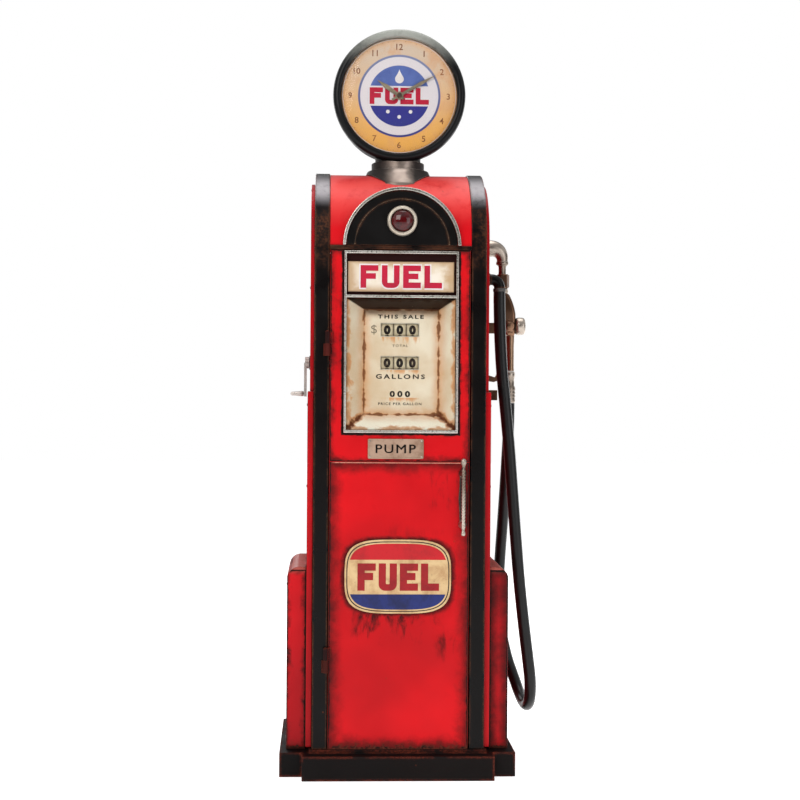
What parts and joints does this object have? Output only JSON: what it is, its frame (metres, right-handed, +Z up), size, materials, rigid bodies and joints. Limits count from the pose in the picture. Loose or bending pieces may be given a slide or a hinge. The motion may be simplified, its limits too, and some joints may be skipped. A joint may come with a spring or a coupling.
{
  "type": "gas pump",
  "caption": "Vintage free-standing gas pump: hinged display door, number wheels, clock globe, hose with hung nozzle, reset crank and belt-driven pump inside.",
  "frame": {"origin": "middle of the plinth underside, on the ground", "axes": "+Z up, the door and clock face -Y, +X to the object right where the hose hangs"},
  "size_m": [0.584, 0.39, 1.6798],
  "materials": {
    "plinth_paint": "satin",
    "black_enamel": "gloss",
    "red_paint": "gloss",
    "chrome_trim": "polished",
    "bezel_metal": "worn",
    "lamp_glass": "gloss",
    "bronze_casting": "aged",
    "globe_enamel": "gloss",
    "dial_print": "satin",
    "clear_glass": "gloss",
    "machine_steel": "satin",
    "hand_metal": "satin",
    "black_fitting": "satin",
    "bright_steel": "worn",
    "hanger_brass": "aged",
    "nozzle_brass": "aged",
    "ferrule_metal": "worn",
    "hose_rubber": "satin",
    "crank_iron": "worn",
    "crank_grip": "worn",
    "sign_enamel": "satin",
    "dial_enamel": "satin",
    "name_plate": "satin",
    "badge_enamel": "satin",
    "cast_machinery": "painted",
    "pulley_iron": "machined",
    "belt_rubber": "matte",
    "number_wheel": "painted"
  },
  "bodies": {
    "cabinet": {"plinth": "plinth_paint", "left_frame": "black_enamel", "right_frame": "black_enamel", "arch_panel": "black_enamel", "header_band": "black_enamel", "roof_shell": "red_paint", "rear_panel": "red_paint", "left_upper_side": "red_paint", "right_upper_side": "red_paint", "left_lower_side": "red_paint", "right_lower_side": "red_paint", "left_skirt": "red_paint", "right_skirt": "red_paint", "door_hinge_upper": "red_paint", "door_hinge_lower": "red_paint", "arch_trim": "chrome_trim", "lamp_bezel": "bezel_metal", "lamp_lens": "lamp_glass", "globe_collar": "bronze_casting", "globe_case": "globe_enamel", "clock_dial": "dial_print", "clock_glass": "clear_glass", "clock_movement": "machine_steel", "register_frame": "machine_steel", "delivery_pipe": "machine_steel", "hose_outlet": "black_fitting", "spout_socket": "bright_steel", "nozzle_hanger": "hanger_brass", "hose": "hose_rubber", "crank_boss": "crank_iron", "display_mask": "dial_enamel", "motor": "cast_machinery", "pump_unit": "cast_machinery", "meter": "cast_machinery", "drive_belt": "belt_rubber"},
    "door": {"door_sheet": "red_paint", "window_frame": "chrome_trim", "window_glass": "clear_glass", "sign_panel": "sign_enamel", "name_plate": "name_plate", "badge_plate": "badge_enamel", "door_handle": "bright_steel"},
    "nozzle": {"nozzle_spout": "bright_steel", "nozzle_body": "nozzle_brass", "hose_ferrule": "ferrule_metal"},
    "minute_hand": {"minute_hand": "hand_metal"},
    "hour_hand": {"hour_hand": "hand_metal"},
    "reset_crank": {"reset_crank": "crank_iron"},
    "crank_grip": {"crank_grip": "crank_grip"},
    "hook_lever": {"hook_lever": "hanger_brass"},
    "nozzle_lever": {"nozzle_lever": "nozzle_brass"},
    "motor_pulley": {"motor_pulley": "pulley_iron"},
    "pump_pulley": {"pump_pulley": "pulley_iron"},
    "meter_shaft": {"meter_shaft": "machine_steel"},
    "sale_wheel_tens": {"sale_wheel_tens": "number_wheel"},
    "sale_wheel_units": {"sale_wheel_units": "number_wheel"},
    "sale_wheel_tenths": {"sale_wheel_tenths": "number_wheel"},
    "gallons_wheel_tens": {"gallons_wheel_tens": "number_wheel"},
    "gallons_wheel_units": {"gallons_wheel_units": "number_wheel"},
    "gallons_wheel_tenths": {"gallons_wheel_tenths": "number_wheel"}
  },
  "joints": [
    {"name": "door_hinge", "type": "hinge", "parent": "cabinet", "child": "door", "pos_m": [-0.1605, -0.173, 0.6], "axis": [0, 0, -1], "range_deg": [0, 110]},
    {"name": "minute_hand_turn", "type": "hinge", "parent": "cabinet", "child": "minute_hand", "pos_m": [0, -0.0507, 1.528], "axis": [0, 1, 0], "continuous": true},
    {"name": "hour_hand_turn", "type": "hinge", "parent": "cabinet", "child": "hour_hand", "pos_m": [0, -0.0483, 1.528], "axis": [0, 1, 0], "continuous": true},
    {"name": "reset_crank_turn", "type": "hinge", "parent": "cabinet", "child": "reset_crank", "pos_m": [-0.215, -0.079, 0.9145], "axis": [-1, 0, 0], "continuous": true},
    {"name": "crank_grip_spin", "type": "hinge", "parent": "reset_crank", "child": "crank_grip", "pos_m": [-0.228, -0.079, 0.8445], "axis": [-1, 0, 0], "continuous": true},
    {"name": "hook_lever_turn", "type": "hinge", "parent": "cabinet", "child": "hook_lever", "pos_m": [0.214, 0.05, 0.886], "axis": [0, -1, 0], "range_deg": [0, 25]},
    {"name": "nozzle_draw", "type": "slide", "parent": "cabinet", "child": "nozzle", "axis": [1, 0, 0], "range_m": [0, 0.06]},
    {"name": "nozzle_lever_squeeze", "type": "hinge", "parent": "nozzle", "child": "nozzle_lever", "pos_m": [0.27, 0.07, 1.034], "axis": [-1, 0, 0], "range_deg": [0, 8], "stiffness_Nm_per_rad": 1, "springref_deg": -5.73},
    {"name": "pump_pulley_spin", "type": "hinge", "parent": "cabinet", "child": "pump_pulley", "pos_m": [-0.112, 0.04, 0.16], "axis": [1, 0, 0], "continuous": true},
    {"name": "motor_pulley_spin", "type": "hinge", "parent": "cabinet", "child": "motor_pulley", "pos_m": [-0.112, 0.04, 0.39], "axis": [1, 0, 0], "continuous": true},
    {"name": "meter_shaft_spin", "type": "hinge", "parent": "cabinet", "child": "meter_shaft", "pos_m": [0, -0.045, 0.7], "axis": [0, 0, 1], "continuous": true},
    {"name": "sale_wheel_tenths_turn", "type": "hinge", "parent": "cabinet", "child": "sale_wheel_tenths", "pos_m": [0.0296, -0.079, 0.9885], "axis": [1, 0, 0], "continuous": true},
    {"name": "sale_wheel_units_turn", "type": "hinge", "parent": "cabinet", "child": "sale_wheel_units", "pos_m": [0.0012, -0.079, 0.9885], "axis": [1, 0, 0], "continuous": true},
    {"name": "sale_wheel_tens_turn", "type": "hinge", "parent": "cabinet", "child": "sale_wheel_tens", "pos_m": [-0.0272, -0.079, 0.9885], "axis": [1, 0, 0], "continuous": true},
    {"name": "gallons_wheel_tenths_turn", "type": "hinge", "parent": "cabinet", "child": "gallons_wheel_tenths", "pos_m": [0.0296, -0.079, 0.9145], "axis": [1, 0, 0], "continuous": true},
    {"name": "gallons_wheel_units_turn", "type": "hinge", "parent": "cabinet", "child": "gallons_wheel_units", "pos_m": [0.0012, -0.079, 0.9145], "axis": [1, 0, 0], "continuous": true},
    {"name": "gallons_wheel_tens_turn", "type": "hinge", "parent": "cabinet", "child": "gallons_wheel_tens", "pos_m": [-0.0272, -0.079, 0.9145], "axis": [1, 0, 0], "continuous": true}
  ],
  "couplings": [
    {"joint": "hour_hand_turn", "follows": "minute_hand_turn", "ratio": 0.083333},
    {"joint": "motor_pulley_spin", "follows": "pump_pulley_spin", "ratio": 2.6429},
    {"joint": "sale_wheel_tenths_turn", "follows": "meter_shaft_spin", "ratio": 0.5},
    {"joint": "sale_wheel_units_turn", "follows": "meter_shaft_spin", "ratio": 0.05},
    {"joint": "sale_wheel_tens_turn", "follows": "meter_shaft_spin", "ratio": 0.005},
    {"joint": "gallons_wheel_tenths_turn", "follows": "meter_shaft_spin", "ratio": 0.25},
    {"joint": "gallons_wheel_units_turn", "follows": "meter_shaft_spin", "ratio": 0.025},
    {"joint": "gallons_wheel_tens_turn", "follows": "meter_shaft_spin", "ratio": 0.0025}
  ]
}
